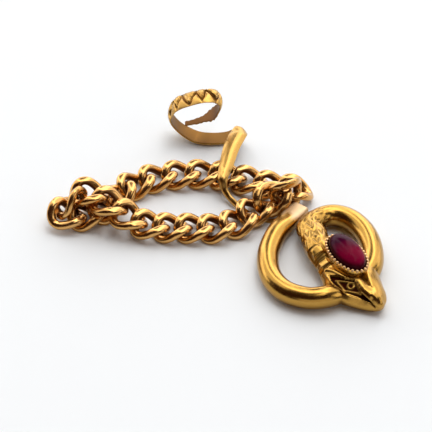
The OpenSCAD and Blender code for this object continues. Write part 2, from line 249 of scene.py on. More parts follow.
# The head's outline at eleven places round it, from the right cheek over the snout, down the left cheek and
# under the jaw. Each row: along the head, then (across, height) at each place.
sectionTurns = [-12, 28, 65, 95, 125, 155, 168, 200, 235, 270, 308]
headSections = [
    [-1.0, (0.35, 1.3), (0.1, 2.0), (-0.5, 2.35), (-1.2, 2.45), (-2.1, 2.4), (-2.9, 2.05), (-3.1, 1.85),
     (-3.3, 1.25), (-2.7, 0.5), (-1.4, 0.4), (-0.2, 0.55)],
    [0.3, (1.6, 1.3), (1.3, 1.95), (0.4, 2.3), (-0.8, 2.35), (-2.2, 2.4), (-3.1, 2.1), (-3.3, 1.85),
     (-3.55, 1.1), (-2.8, 0.3), (-1.1, 0.25), (0.7, 0.3)],
    [1.4, (1.85, 1.2), (1.5, 1.9), (0.5, 2.35), (-0.6, 2.35), (-2.1, 2.4), (-3.3, 2.12), (-3.45, 2.02),
     (-3.85, 1.1), (-3.1, 0.2), (-0.9, 0.18), (1.0, 0.2)],
    [2.3, (1.65, 1.1), (1.3, 1.9), (0.45, 2.35), (-0.55, 2.25), (-1.75, 2.38), (-3.25, 2.05), (-3.4, 1.97),
     (-3.85, 1.0), (-3.1, 0.15), (-0.85, 0.15), (1.0, 0.15)],
    [3.2, (1.45, 1.0), (1.1, 1.8), (0.3, 2.32), (-0.5, 2.2), (-1.2, 2.33), (-2.9, 1.9), (-3.06, 1.85),
     (-3.5, 0.95), (-2.9, 0.12), (-0.75, 0.12), (0.9, 0.12)],
    [4.1, (1.2, 0.95), (0.9, 1.7), (0.2, 2.2), (-0.4, 2.15), (-1.05, 2.2), (-2.45, 1.7), (-2.6, 1.65),
     (-2.95, 0.85), (-2.3, 0.12), (-0.6, 0.12), (0.7, 0.12)],
    [4.9, (1.0, 0.9), (0.75, 1.5), (0.1, 2.0), (-0.38, 2.05), (-0.85, 2.0), (-1.6, 1.5), (-1.75, 1.45),
     (-2.15, 0.75), (-1.7, 0.15), (-0.5, 0.12), (0.5, 0.15)],
    [5.6, (0.65, 0.9), (0.45, 1.35), (0.0, 1.76), (-0.35, 1.82), (-0.7, 1.78), (-1.04, 1.4), (-1.14, 1.33),
     (-1.45, 0.7), (-1.15, 0.3), (-0.4, 0.25), (0.25, 0.3)],
    [6.05, (0.2, 0.85), (0.1, 1.2), (-0.12, 1.44), (-0.35, 1.5), (-0.55, 1.44), (-0.72, 1.2), (-0.78, 1.13),
     (-0.92, 0.8), (-0.8, 0.5), (-0.35, 0.4), (0.0, 0.5)],
]
# Places in rows are counted along the body's table, and the head's rows go on from its row 18. A pair says
# where something starts to fade in or out, and where that ends.
snakeShape = {
    "headAt": (12.9, -7.84, 0.0),
    "headHeading": -62.0,
    "pointsRound": 184,
    "bodyStep": 0.24,  # mm between rings on the plain body
    "fineStep": 0.06,  # and on the neck and head
    "neckFrom": 15.2,  # in rows: where the fine rings start
    "neckGuide": 17.3,  # in rows: the whole ring that leads the neck into the head
    "neckTo": 18.0,
    "noseDome": [(0.1, 0.85), (0.17, 0.62), (0.21, 0.36), (0.23, 0.15)],  # mm past the last ring, share of it
    "headMarksFrom": (18.3, 18.8),
    "squaresFrom": (17.2, 17.5),
    "squaresTo": (0.1, -0.2),  # mm along the head
    "leavesFrom": (14.8, 15.3),
    "leavesTo": (-3.2, -2.7),  # mm along the head, where the setting comes close
    "leavesEnd": (17.0, 18.6),  # in rows: past the first the setting cuts them off, past the last are none
    "leavesSide": (-0.5, 0.0),  # the sine of the way round, so that the underside stays plain
    "solderTo": (2.25, 1.75),
    "solderEdge": (0.12, 0.08),  # how uneven its edge is, in rows
    "solderLumps": 0.02,
    "solderStrength": 0.85,
}
headTurn = math.radians(snakeShape["headHeading"])
headAlong = np.array([math.cos(headTurn), math.sin(headTurn), 0.0])
headRight = np.array([-math.sin(headTurn), math.cos(headTurn), 0.0])
upward = np.array([0.0, 0.0, 1.0])


def wayAlong(rows, t):  # the way a table's line runs at t, in rows
    step = 0.1
    ahead = smoothRow(rows, min(len(rows) - 1, t + step))
    behind = smoothRow(rows, max(0, t - step))
    return unit(ahead[:3] - behind[:3])


def bodyRing(t):
    row = smoothRow(bodyRows, t)
    along = wayAlong(bodyRows, t)
    across = unit(np.cross(upward, along))
    top = np.cross(along, across)
    turn = wholeTurn(snakeShape["pointsRound"])
    return (row[:3] + np.outer(row[3] * rounded(np.cos(turn), row[5]), across)
            + np.outer(row[4] * rounded(np.sin(turn), row[5]), top))


def headRing(row):
    # a smooth closed line through the row's eleven places
    turns = np.radians(sectionTurns)
    turns = np.concatenate([turns - 2 * math.pi, turns, turns + 2 * math.pi])
    marks = np.array(row[1:] * 3, float)
    middle = np.array(snakeShape["headAt"]) + row[0] * headAlong
    ring = []
    for turn in wholeTurn(snakeShape["pointsRound"]):
        k = int(np.searchsorted(turns, turn, side="right")) - 1
        u = (turn - turns[k]) / (turns[k + 1] - turns[k])
        across, height = smoothRow(marks[k - 1:k + 3], 1 + u)
        ring.append(middle + across * headRight + height * upward)
    return np.array(ring)


def bodyLength(start, stop):
    places = [smoothRow(bodyRows, t)[:3] for t in np.linspace(start, stop, 60)]  # enough to follow the bends
    return sum(np.linalg.norm(b - a) for a, b in zip(places, places[1:]))


def snakeRings():
    shape = snakeShape
    plain = int(bodyLength(0, shape["neckFrom"]) / shape["bodyStep"])
    fine = int(bodyLength(shape["neckFrom"], shape["neckTo"]) / shape["fineStep"])
    stations = list(np.linspace(0, shape["neckFrom"], plain, endpoint=False))
    stations += list(np.linspace(shape["neckFrom"], shape["neckTo"], fine, endpoint=False))
    rings = [bodyRing(t) for t in stations]
    # from the neck on, whole rings are the rows: two of the neck and then the head's own
    neckEnd = [bodyRing(shape["neckGuide"]), bodyRing(shape["neckTo"])]
    keys = np.array(neckEnd + [headRing(row) for row in headSections])
    for k in range(1, len(keys) - 1):
        span = np.linalg.norm(keys[k + 1].mean(axis=0) - keys[k].mean(axis=0))
        count = max(3, int(span / shape["fineStep"]))
        for u in np.linspace(0, 1, count, endpoint=k == len(keys) - 2):
            rings.append(smoothRow(keys.reshape(len(keys), -1), k + u).reshape(-1, 3))
            stations.append(shape["neckTo"] + k - 1 + u)
    # the nose closes in a small dome
    tip = keys[-1].mean(axis=0)
    for reach, size in shape["noseDome"]:
        rings.append(tip + (keys[-1] - tip) * size + headAlong * reach)
        stations.append(stations[-1])
    return np.array(rings), np.array(stations)


# The sunk channel on the cheek, from behind the eye to the nostril: along, its upper edge, its lower edge
cheekChannel = [  # mm, as the marks below
    [1.1, -3.1, -3.15],
    [1.7, -2.5, -3.3],
    [2.3, -2.1, -3.25],
    [2.9, -1.4, -3.05],
    [3.6, -1.42, -2.75],
    [4.3, -1.5, -2.15],
    [4.6, -1.42, -1.85],
    [5.1, -1.2, -1.48],
    [5.6, -1.0, -1.15],
    [6.0, -0.82, -0.9],
]
headMarks = {  # places are (along the head, across it)
    "channelDepth": 0.24,
    "channelSide": (-0.04, 0.1),  # how steeply the channel's edges fall
    "channelFrom": (0.75, 0.95),
    "channelTo": (6.1, 5.95),
    "channelShallow": (4.6, 5.3),  # where it gets shallower
    "channelLoss": 0.3,  # the share of its depth that it loses there
    "channelShade": (0.05, 0.5),  # shares of its depth where the painted shade starts and where it is full
    "eye": (3.2, -2.0),
    "eyeRadius": 0.3,
    "lozenge": [[1.9, -2.95], [3.3, -2.75], [4.45, -1.6], [3.2, -1.45], [1.9, -2.95]],
    "frameWidth": 0.07,  # of the lozenge's line and the eye's ring
    "frameHeight": 0.13,
    "frameShadeSpared": 0.85,  # how much of the channel's painted shade the raised lines are spared
    "snoutGroove": [[2.4, -0.65], [3.3, -0.55], [4.0, -0.42]],
    "grooveWidth": 0.12,
    "grooveDepth": 0.12,
    "grooveShade": 0.7,
    "topFrom": (-0.1, 0.25),  # how far up a face has to look, so that the underside stays plain
}
# Raised ridges left of the snout, over the nose, right of the snout and along the brow: line, height, width
headRidges = [
    [[[2.9, -1.05], [3.6, -1.12], [4.3, -1.16], [5.1, -0.92]], 0.18, 0.32],
    [[[5.3, -0.5], [6.05, -0.38]], 0.14, 0.34],
    [[[2.6, 0.1], [3.5, -0.05], [4.2, -0.25]], 0.12, 0.26],
    [[[0.2, -3.0], [0.8, -2.6], [1.4, -2.35], [2.2, -2.05]], 0.12, 0.2],
]


def headRelief(along, across, facing):
    # how far the skin stands in or out at each place of the head, and how much painted shade it has there
    marks = headMarks
    flat = np.stack([along, across], axis=-1)
    upper = smoothStep(*marks["topFrom"], facing)
    channel = np.array(cheekChannel)
    upperEdge = np.interp(along, channel[:, 0], channel[:, 1])
    lowerEdge = np.interp(along, channel[:, 0], channel[:, 2])
    inside = np.minimum(upperEdge - across, across - lowerEdge)
    sunk = smoothStep(*marks["channelSide"], inside)
    sunk = sunk * smoothStep(*marks["channelFrom"], along) * smoothStep(*marks["channelTo"], along)
    sunk = sunk * (1 - marks["channelLoss"] * smoothStep(*marks["channelShallow"], along))
    lozenge = ridge(distanceToLine(flat, marks["lozenge"]), marks["frameWidth"])
    fromEye = np.linalg.norm(flat - np.array(marks["eye"]), axis=-1)
    ringEye = ridge(fromEye - marks["eyeRadius"], marks["frameWidth"])
    raised = np.clip(lozenge + ringEye, 0, 1)
    relief = marks["frameHeight"] * raised * sunk - marks["channelDepth"] * sunk
    # painted shade in the sunk channel, kept off its raised lines
    dirtAndShade = smoothStep(*marks["channelShade"], sunk) * (1 - marks["frameShadeSpared"] * raised)
    for line, height, width in headRidges:
        relief = relief + height * ridge(distanceToLine(flat, line), width) * (1 - sunk)
    groove = ridge(distanceToLine(flat, marks["snoutGroove"]), marks["grooveWidth"])
    relief = relief - marks["grooveDepth"] * groove
    # painted shade in the snout's groove
    dirtAndShade = np.maximum(dirtAndShade, marks["grooveShade"] * groove)
    return relief * upper, dirtAndShade * upper


# The square scales beside the setting: middle along and across, half length, half width
squareScales = [
    [-2.2, -2.65, 0.4, 0.5],
    [-0.7, -2.85, 0.42, 0.55],
]
squareShape = {
    "height": 0.12,
    "lean": 0.1,  # how much higher the end towards the nose stands, and how much lower the other
    "side": 0.08,  # mm either way of the plate's edge in which its side falls
    "gapAt": 0.2,  # mm out from the plate's edge
    "gapWidth": 0.14,
    "gapDepth": 0.08,
    "gapShade": 0.5,
    "topFrom": (0.0, 0.3),
}


def squareRelief(along, across, facing):
    # plates with steep sides, and a sunk gap all round each, with painted shade in it
    shape = squareShape
    relief = np.zeros_like(along)
    gap = np.zeros_like(along)
    for middle, side, halfLong, halfWide in squareScales:
        out = np.maximum(np.abs(along - middle) - halfLong, np.abs(across - side) - halfWide)
        height = shape["height"] + shape["lean"] * np.clip((along - middle) / halfLong, -1, 1)
        relief = np.maximum(relief, height * smoothStep(shape["side"], -shape["side"], out))
        gap = np.maximum(gap, ridge(out - shape["gapAt"], shape["gapWidth"]))
    upper = smoothStep(*shape["topFrom"], facing)
    # painted shade in the gaps
    return (relief - shape["gapDepth"] * gap) * upper, shape["gapShade"] * gap * upper


# The neck's leaves. Places on a leaf run from -1 to 1 across it, and from -1 to 1 towards the nose.
leafShape = {
    "length": 1.3,
    "angle": 64.0,  # of the way round the neck to each leaf
    "relief": 0.11,
    "squareness": 1.6,  # below 2, so that a leaf comes to a point at either end
    "side": (-0.1, 0.5),  # how steeply its sides rise
    "lean": 0.25,  # how much higher its end towards the nose stands
    "veeTip": 0.3,
    "veeSpread": 0.6,  # how fast the V's arms part
    "veeTo": (0.36, 0.28),
    "veeFrom": (-0.4, -0.2),
    "veeWidth": 0.12,
    "veeDepth": 0.07,
    "veeShade": 0.5,
    "gapShade": 0.15,
}


def neckRelief(distance, turn, strength):
    # leaf-shaped scales in two staggered sets, each with a V cut into it that points to the nose
    shape = leafShape
    angle = math.radians(shape["angle"])
    height = np.zeros_like(distance)
    vees = np.zeros_like(distance)
    power = shape["squareness"]
    for shift in (0.0, 0.5):
        side = 2 * ((turn / angle + shift) % 1) - 1
        way = 2 * ((distance / (2 * shape["length"]) + shift) % 1) - 1
        inside = 1 - (np.abs(side) ** power + np.abs(way) ** power) ** (1 / power)
        leaf = smoothStep(*shape["side"], inside) * (1 - shape["lean"] + shape["lean"] * way)
        fromArm = np.abs(np.abs(side) - shape["veeSpread"] * (shape["veeTip"] - way))
        vee = ridge(fromArm, shape["veeWidth"])
        vee = vee * smoothStep(*shape["veeTo"], way) * smoothStep(*shape["veeFrom"], way)
        vees = np.where(leaf > height, vee, vees)
        height = np.maximum(height, leaf)
    relief = shape["relief"] * (height - 1) - shape["veeDepth"] * vees
    # painted shade in the V cuts and in the gaps between the leaves
    dirtAndShade = shape["gapShade"] * (1 - height) + shape["veeShade"] * vees
    return relief * strength, dirtAndShade * strength


def buildSnake():
    shape = snakeShape
    grid, stations = snakeRings()
    normals = gridNormals(grid)
    facing = normals[..., 2]
    middles = grid.mean(axis=1)
    travelled = np.concatenate([[0], np.cumsum(np.linalg.norm(np.diff(middles, axis=0), axis=1))])
    turn = np.broadcast_to(wholeTurn(shape["pointsRound"]), grid.shape[:2])
    distance = np.broadcast_to(travelled[:, None], grid.shape[:2])
    t = np.broadcast_to(stations[:, None], grid.shape[:2])
    fromHead = grid - np.array(shape["headAt"])
    along, across = fromHead @ headAlong, fromHead @ headRight
    onHead = smoothStep(*shape["headMarksFrom"], t)
    onSide = smoothStep(*shape["squaresFrom"], t) * smoothStep(*shape["squaresTo"], along)
    setOff, end = shape["leavesEnd"]
    nearSetting = smoothStep(*shape["leavesTo"], along) * (t > setOff)
    onTop = smoothStep(*shape["leavesSide"], np.sin(turn)) * (t < end)
    onNeck = smoothStep(*shape["leavesFrom"], t) * (1 - nearSetting) * onTop
    relief, dirtAndShade = headRelief(along, across, facing)
    squares, gaps = squareRelief(along, across, facing)
    leaves, neckShade = neckRelief(distance, turn, onNeck)
    grid = grid + normals * (relief * onHead + squares * onSide + leaves)[..., None]
    # painted shade and dirt from the head, the square scales and the neck's leaves, as one mask
    dirtAndShadeMask = np.maximum(np.maximum(dirtAndShade * onHead, gaps * onSide), neckShade)
    # the cut end is pale and rough from an old solder joint, with an uneven edge
    wide, narrow = shape["solderEdge"]
    edge = wide * np.sin(5 * turn) + narrow * np.sin(9 * turn + 3 * t)
    solder = smoothStep(*shape["solderTo"], t + edge)
    lumps = shape["solderLumps"] * np.sin(31 * t + 2 * np.sin(3 * turn)) * np.sin(6 * turn)
    grid = grid + normals * (lumps * solder)[..., None]
    return tubePiece("coiledSnake", grid, castGold, dirtAndShadeMask, solder=shape["solderStrength"] * solder)


snakeBody = buildSnake()
print("body, neck and head built,", len(snakeBody.data.polygons), "faces")


# The setting, its beads and the ruby

settingShape = {
    "at": (-0.05, -0.6, 2.85),  # along, across and height of the stone's middle, at its widest
    "roll": -6.0,
    "length": 5.3,
    "width": 2.9,
    "straightSide": 0.3,
    "dome": 1.2,
    "domeRings": 40,
    "domeTo": 86,  # degrees: the last ring is a small one, which the cap closes
    "foot": [(0.12, -0.38), (0.03, -0.2), (0.0, -0.1)],  # how far in the stone's foot is, and its height
    "clearance": 0.06,
    "wall": 0.26,
    "beads": 32,
    "beadRadius": 0.17,
    "beadHeight": 0.22,
    "beadSides": 14,
    "beadRings": 9,
    "pointsRound": 112,
}


def toStone(points):  # from the stone's own frame to the ring's
    shape = settingShape
    roll = math.radians(shape["roll"])
    right = headRight * math.cos(roll) + upward * math.sin(roll)
    up = upward * math.cos(roll) - headRight * math.sin(roll)
    middle = np.array(snakeShape["headAt"]) + shape["at"][0] * headAlong + shape["at"][1] * headRight
    middle = middle + shape["at"][2] * upward
    points = np.asarray(points, float)
    return middle + points[..., :1] * headAlong + points[..., 1:2] * right + points[..., 2:3] * up


def stoneMatrix():
    axes = toStone(np.eye(3)) - toStone(np.zeros(3))
    middle = (toStone(np.zeros(3)) + toOrigin) * mm
    rows = [[*axes[:, i], middle[i]] for i in range(3)]
    return Matrix(rows + [[0, 0, 0, 1]])


def ovalRing(a, b, z):
    turn = wholeTurn(settingShape["pointsRound"])
    return np.stack([a * np.cos(turn), b * np.sin(turn), np.full_like(turn, z)], axis=-1)


def buildSetting():
    shape = settingShape
    a = shape["length"] / 2 + shape["clearance"]
    b = shape["width"] / 2 + shape["clearance"]
    w = shape["wall"]
    # up the wall, over the rim and down to the seat: how far out lengthways and sideways, and the height
    profile = [
        (-0.1, -0.3, -1.3),  # the foot, sunk in the head
        (w * 0.4, w * 0.2, -1.0),
        (w - 0.04, w - 0.04, -0.6),
        (w - 0.01, w - 0.01, -0.1),
        (w, w, 0.08),
        (w - 0.03, w - 0.03, 0.17),
        (w * 0.5, w * 0.5, 0.2),  # the rim's top
        (0.03, 0.03, 0.18),
        (0, 0, 0.1),
        (0, 0, -0.46),  # the stone's seat
    ]
    rings = [ovalRing(a + da, b + db, z) for da, db, z in profile]
    return tubePiece("rubySetting", toStone(rings), castGold, sharpAngle=50)


def newTree(name, inputs):
    # an empty tree with named inputs, and the identifier of each
    tree = bpy.data.node_groups.new(name, "GeometryNodeTree")
    sockets = {}
    for label, kind in inputs.items():
        socket = tree.interface.new_socket(label, in_out="INPUT", socket_type="NodeSocket" + kind)
        sockets[label] = socket.identifier
    tree.interface.new_socket("Geometry", in_out="OUTPUT", socket_type="NodeSocketGeometry")
    return tree, sockets, addNode(tree, "NodeGroupInput")


def endTree(tree, geometry, finish):
    real = addNode(tree, "GeometryNodeRealizeInstances", {}, {"Geometry": geometry})
    finished = addNode(tree, "GeometryNodeSetMaterial", {}, {"Geometry": real.outputs[0], "Material": finish})
    result = addNode(tree, "NodeGroupOutput")
    tree.links.new(finished.outputs[0], result.inputs[0])


def beadTree():
    tree, sockets, given = newTree("millegrainRim", {
        "Half Length": "Float",
        "Half Width": "Float",
        "Bead Radius": "Float",
        "Bead Sides": "Int",
        "Bead Rings": "Int",
        "Beads": "Int",
        "Finish": "Material",
    })
    # an oval, drawn finely so that the beads are evenly spaced
    circle = addNode(tree, "GeometryNodeCurvePrimitiveCircle", {"Resolution": 240, "Radius": 1.0})
    place = addNode(tree, "GeometryNodeInputPosition")
    size = addNode(tree, "ShaderNodeCombineXYZ", {},
                   {"X": given.outputs["Half Length"], "Y": given.outputs["Half Width"]})
    oval = addNode(tree, "ShaderNodeVectorMath", {"operation": "MULTIPLY"},
                   {0: place.outputs[0], 1: size.outputs[0]})
    moved = addNode(tree, "GeometryNodeSetPosition", {},
                    {"Geometry": circle.outputs[0], "Position": oval.outputs[0]})
    spaced = addNode(tree, "GeometryNodeResampleCurve", {},
                     {"Curve": moved.outputs[0], "Count": given.outputs["Beads"]})
    bead = addNode(tree, "GeometryNodeMeshUVSphere", {}, {
        "Segments": given.outputs["Bead Sides"],
        "Rings": given.outputs["Bead Rings"],
        "Radius": given.outputs["Bead Radius"],
    })
    smooth = addNode(tree, "GeometryNodeSetShadeSmooth", {}, {"Geometry": bead.outputs[0]})
    onPoints = addNode(tree, "GeometryNodeInstanceOnPoints", {},
                       {"Points": spaced.outputs[0], "Instance": smooth.outputs[0]})
    endTree(tree, onPoints.outputs[0], given.outputs["Finish"])
    return tree, sockets


def meshFromTree(name, tree, sockets, values, place):
    # runs a tree on an empty mesh, keeps what it makes as a plain mesh, and puts its place in the mesh
    holder = bpy.data.objects.new(name + "Maker", bpy.data.meshes.new(name + "Maker"))
    bpy.context.collection.objects.link(holder)
    modifier = holder.modifiers.new(name, "NODES")
    modifier.node_group = tree
    for key, value in values.items():
        modifier[sockets[key]] = value
    depsgraph = bpy.context.evaluated_depsgraph_get()
    mesh = bpy.data.meshes.new_from_object(holder.evaluated_get(depsgraph), depsgraph=depsgraph)
    holder.modifiers.remove(modifier)
    bpy.data.objects.remove(holder)
    mesh.name = name
    mesh.transform(place)
    piece = bpy.data.objects.new(name, mesh)
    bpy.context.collection.objects.link(piece)
    return piece


def buildBeads():
    shape = settingShape
    tree, sockets = beadTree()
    inset = shape["clearance"] + shape["wall"] / 2
    values = {
        "Half Length": (shape["length"] / 2 + inset) * mm,
        "Half Width": (shape["width"] / 2 + inset) * mm,
        "Bead Radius": shape["beadRadius"] * mm,
        "Bead Sides": shape["beadSides"],
        "Bead Rings": shape["beadRings"],
        "Beads": shape["beads"],
        "Finish": beadPaintedGlintGold,
    }
    place = stoneMatrix() @ Matrix.Translation((0, 0, shape["beadHeight"] * mm))
    return meshFromTree("settingBeads", tree, sockets, values, place)


rubyLook = {
    # painted light: painted shade purple behind, a painted red glow in front, and a painted dark rim
    "back": "3A0622",
    "front": "7A082C",
    "rim": "280408",
    "rimFrom": (0.84, 0.99),  # share of the stone's half width where its painted dark edge starts and where it is darkest
    "rimStrength": 0.9,
    "glowWay": (60.0, -230.0, 0.0),  # how fast the painted red glow grows to the right and the front, for each metre
    "glowFull": 0.4,
    "cloudSize": 1.11,  # mm between the clouds in the stone
    "clouds": 0.3,
    "roughness": 0.12,
    "ior": 1.6,
    "reflection": 0.025,  # old polish, which mirrors hardly anything
}


def rubyFinish():
    # a natural ruby cut as a high cabochon, with painted light in its colour: painted shade nearly black at
    # its edge and purple behind, and a painted red glow in front
    look = rubyLook
    material, tree, shader = newMaterial("rubyCabochon")
    place = addNode(tree, "ShaderNodeTexCoord").outputs["Object"]
    middle = stoneMatrix().translation
    seen = addNode(tree, "ShaderNodeVectorMath", {"operation": "SUBTRACT", 1: list(middle)}, {0: place})
    glow = addNode(tree, "ShaderNodeVectorMath", {"operation": "DOT_PRODUCT", 1: look["glowWay"]},
                   {0: seen.outputs[0]})
    cloud = addNode(tree, "ShaderNodeTexNoise", {"Scale": 1 / (look["cloudSize"] * mm), "Detail": 2},
                    {"Vector": place})
    mixed = addNode(tree, "ShaderNodeMath", {"operation": "MULTIPLY_ADD", 1: look["clouds"]},
                    {0: cloud.outputs["Fac"], 2: glow.outputs["Value"]})
    # painted light: darker purple behind, a red glow towards the front and right
    ramp = addNode(tree, "ShaderNodeValToRGB", {}, {"Fac": mixed.outputs[0]})
    back, front = ramp.color_ramp.elements
    back.color = linearColour(look["back"])
    front.color = linearColour(look["front"])
    front.position = look["glowFull"]
    edge = addNode(tree, "ShaderNodeAttribute", {"attribute_name": "dirtAndShade"})
    darker = addNode(tree, "ShaderNodeMix", {"data_type": "RGBA", 7: linearColour(look["rim"])},
                     {0: edge.outputs["Fac"], 6: ramp.outputs[0]})
    tree.links.new(darker.outputs[2], shader.inputs["Base Color"])
    shader.inputs["Roughness"].default_value = look["roughness"]
    shader.inputs["Specular IOR Level"].default_value = look["reflection"]
    shader.inputs["IOR"].default_value = look["ior"]
    return material


def buildRuby():
    shape = settingShape
    a, b = shape["length"] / 2, shape["width"] / 2
    rings = [ovalRing(a - inset, b - inset, height) for inset, height in shape["foot"]]
    shade = [1.0] * len(rings)
    for rise in np.radians(np.linspace(0, shape["domeTo"], shape["domeRings"])):
        height = shape["straightSide"] + shape["dome"] * math.sin(rise)
        rings.append(ovalRing(a * math.cos(rise), b * math.cos(rise), height))
        shade.append(float(smoothStep(*rubyLook["rimFrom"], math.cos(rise))))
    shade = rubyLook["rimStrength"] * np.repeat(np.array(shade)[:, None], shape["pointsRound"], axis=1)
    return tubePiece("rubyStone", toStone(rings), rubyFinish(), shade)


setting = buildSetting()
beads = buildBeads()
ruby = buildRuby()
print("setting, beads and ruby built")


# The tail band

# x, y, z, way its rounded face looks (three numbers), half width, thickness
bandRows = [
    [7.7, 0.4, 0.6, 0, 0, 1, 0.6, 0.4],
    [6.9, -0.05, 0.34, 0, 0, 1, 0.5, 0.3],
    [5.6, -0.1, 0.16, 0, 0, 1, 0.35, 0.24],
    [4.4, 0.12, 0.14, 0, 0, 1, 0.26, 0.22],
    [3.4, 0.75, 0.14, 0, 0, 1, 0.28, 0.22],
    [2.5, 1.4, 0.18, 0, 0, 1, 0.3, 0.22],
    [1.9, 1.8, 0.36, -0.4, -0.6, 0.7, 0.33, 0.3],
    [1.3, 2.25, 0.55, -0.6, -0.7, 0.2, 0.37, 0.4],
    [0.85, 2.84, 0.7, -0.8, -0.6, 0.1, 0.37, 0.45],
    [0.4, 3.5, 1.15, -0.7, -0.5, 0.5, 0.42, 0.45],
    [0.3, 4.1, 1.95, -0.2, -0.3, 1, 0.5, 0.42],
    [0.45, 5.0, 2.15, 0, 0, 1, 0.62, 0.4],
    [0.66, 5.88, 2.25, 0, 0, 1, 0.72, 0.4],
    [1.17, 8.38, 2.35, 0, 0, 1, 0.82, 0.4],
    [1.75, 10.3, 2.3, 0, 0, 1, 0.88, 0.4],
    [2.0, 11.0, 2.2, 0, 0, 1, 0.86, 0.4],
    [2.25, 11.85, 1.92, 0.54, 0.45, 0.7, 0.7, 0.4],
    [2.2, 12.42, 1.22, 0.77, 0.64, 0, 0.56, 0.4],
    [1.6, 12.52, 0.52, 0.54, 0.45, -0.7, 0.7, 0.38],
    [0.78, 12.46, 0.22, 0, 0, -1, 0.88, 0.36],
    [-0.97, 12.3, 0.2, 0, 0, -1, 0.9, 0.36],
    [-2.6, 12.6, 0.28, -0.1, 0, -1, 0.92, 0.36],
    [-4.3, 13.1, 1.2, -0.76, 0, -0.65, 0.95, 0.36],
    [-5.1, 13.1, 2.8, -1, 0, 0, 1.0, 0.36],
    [-4.53, 12.9, 4.4, -0.8, 0, 0.6, 1.05, 0.36],
    [-3.0, 12.85, 5.25, -0.25, 0, 0.97, 1.05, 0.36],
    [-1.47, 12.93, 5.6, 0.2, 0, 0.98, 1.0, 0.36],
    [-0.2, 13.1, 5.3, 0.6, 0, 0.8, 0.98, 0.34],
    [0.16, 13.15, 4.3, 0.95, 0, 0.3, 0.95, 0.32],
    [-0.5, 13.02, 3.05, 0.8, 0, -0.6, 0.9, 0.3],
    [-1.9, 12.86, 2.25, 0.4, 0, -0.9, 0.48, 0.28],
    [-3.5, 12.85, 1.75, 0.1, 0, -1, 0.34, 0.26],
]
bandShape = {
    "ringsPerRow": 20,
    "pointsAcross": 25,  # over the rounded face, and the same under it
    "roundness": 2.6,  # 2 is a plain arch, and more is flatter on top
    "edgeSlope": 0.12,
    "softEdge": [(1.0, -0.35), (0.97, -0.47)],  # sideways in half widths, outwards in thicknesses
    # the scales on its outer face; places along the band are in rows of the table
    "scalesFrom": (23.2, 23.4),
    "scalesTo": (27.6, 27.4),
    "toothLength": 0.7,
    "toothReach": (1.5, 0.7),  # in half widths: from tip to root, and how far the root lies past the middle
    "unevenness": 0.12,  # in mm along the band, and in half widths across it
    "cutDepth": 0.28,
    "cutWidth": 0.2,  # in half widths, as the second cut's
    "lowSide": 0.5,  # how deep the ground beside the teeth lies, as a share of a cut
    "lowSideFrom": (0.3, -0.4),
    "secondCutAt": 0.6,
    "secondCutWidth": 0.13,
    "secondCutDepth": 0.45,  # as a share of a cut
    "outerFrom": -0.2,  # in thicknesses: what lies further in stays uncut
    # the torn end
    "tornFrom": 28.2,
    "tornWaves": [(0.06, 9, 0), (0.07, 21, 1)],  # how much each changes the width, how fast, and its start
    "lobeFrom": (28.7, 29.1),  # a wider place
    "lobeTo": (29.6, 29.3),
    "lobe": 0.25,
    # the flat inner face was never polished and is rougher, and it has painted shade, deeper at the torn end
    "innerFrom": (-0.3, -0.45),
    "innerShade": 0.72,
    "tornDarker": 0.16,
    "tornDarkerFrom": (28, 28.6),
    "cutShade": (1.1, 0.55),  # painted shade lies only in the deeper half of a cut
}


def bandSection():
    # half-round, a rounded outer face over a flat inner one: sideways in half widths, outwards in thicknesses
    shape = bandShape
    over = np.linspace(1, -1, shape["pointsAcross"])
    arch = 0.5 * (1 - np.abs(over) ** shape["roundness"]) - shape["edgeSlope"] * np.abs(over)
    under = np.linspace(-1, 1, shape["pointsAcross"])[1:-1]
    left = [(-side, out) for side, out in shape["softEdge"]]
    right = shape["softEdge"][::-1]
    inner = np.stack([under, np.full_like(under, -0.5)], axis=-1)
    return np.concatenate([np.stack([over, arch], axis=-1), left, inner, right])


def bandCuts(section, travelled, t):
    # three-cornered scales that point to one edge and the other by turns, each with a cut beside its edge
    shape = bandShape
    across = section[:, 0]
    marked = smoothStep(*shape["scalesFrom"], t) * smoothStep(*shape["scalesTo"], t)
    saw = abs(((travelled + shape["unevenness"] * math.sin(2.3 * travelled)) / shape["toothLength"]) % 2 - 1)
    length, root = shape["toothReach"]
    gap = across - (length * saw - root) - shape["unevenness"] * np.sin(4 * across + 3 * travelled)
    cuts = ridge(gap, shape["cutWidth"]) + shape["lowSide"] * smoothStep(*shape["lowSideFrom"], gap)
    cuts = cuts + shape["secondCutDepth"] * ridge(gap - shape["secondCutAt"], shape["secondCutWidth"])
    return cuts * marked * (section[:, 1] > shape["outerFrom"])


def tornWidth(t):  # how much wider or narrower the torn end is at t
    shape = bandShape
    lobe = smoothStep(*shape["lobeFrom"], t) * smoothStep(*shape["lobeTo"], t)
    ragged = sum(size * math.sin(t * rate + start) for size, rate, start in shape["tornWaves"])
    return 1 + shape["lobe"] * lobe + (t > shape["tornFrom"]) * ragged


